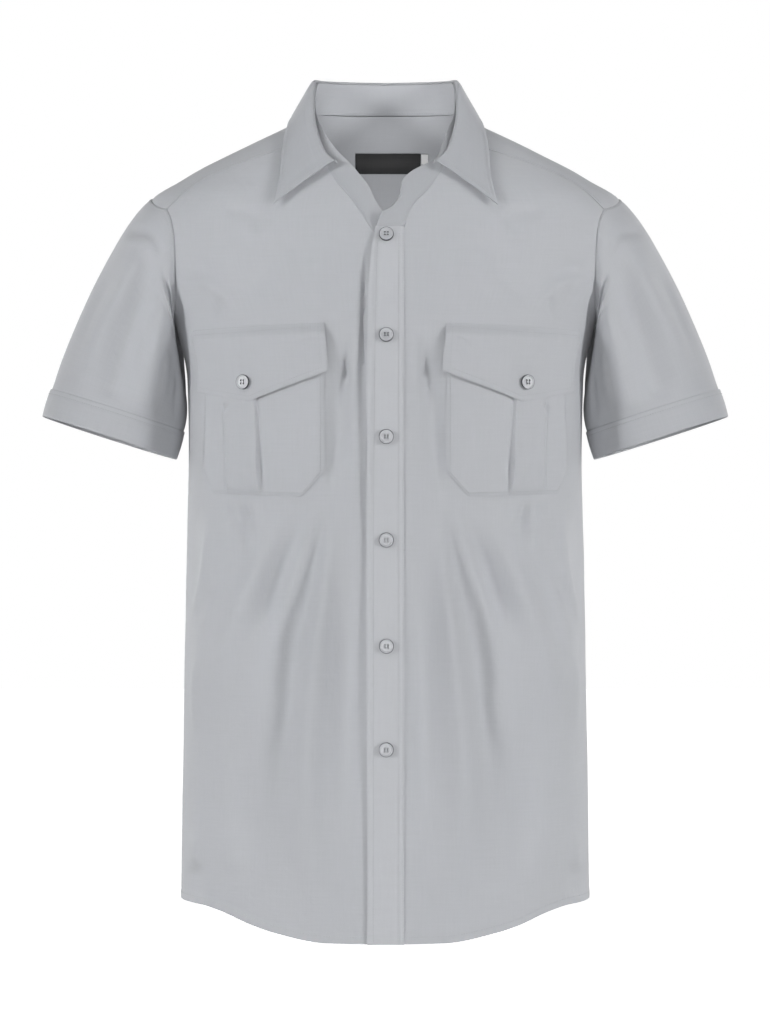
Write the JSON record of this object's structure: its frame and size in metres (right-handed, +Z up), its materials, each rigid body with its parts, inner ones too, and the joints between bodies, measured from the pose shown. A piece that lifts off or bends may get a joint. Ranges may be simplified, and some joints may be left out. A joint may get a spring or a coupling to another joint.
{
  "type": "short-sleeve shirt",
  "caption": "Grey short-sleeve shirt with open collar, stitched front placket, flapped chest pockets with box pleats and turned-up cuffs, filled out as worn.",
  "frame": {"origin": "side neck level at the middle of the neck, where the wearer's shoulders hold the shirt", "axes": "+Z up, the front faces -Y, +X towards the wearer's left"},
  "size_m": [0.6722, 0.2714, 0.8361],
  "materials": {
    "cloth": "plain weave",
    "collar": "plain weave",
    "button": "satin",
    "label": "woven",
    "size_tab": "woven"
  },
  "bodies": {
    "root": {"back": "cloth", "button_1": "button", "button_2": "button", "button_3": "button", "button_4": "button", "button_5": "button", "button_6": "button", "collar_leaf": "collar", "collar_stand": "collar", "cuff_left": "cloth", "cuff_right": "cloth", "flap_left": "cloth", "flap_right": "cloth", "front_left": "cloth", "front_right": "cloth", "label": "label", "placket": "cloth", "pocket_button_left": "button", "pocket_button_right": "button", "pocket_left": "cloth", "pocket_right": "cloth", "size_tab": "size_tab", "sleeve_left": "cloth", "sleeve_right": "cloth", "yoke": "cloth"}
  },
  "joints": []
}
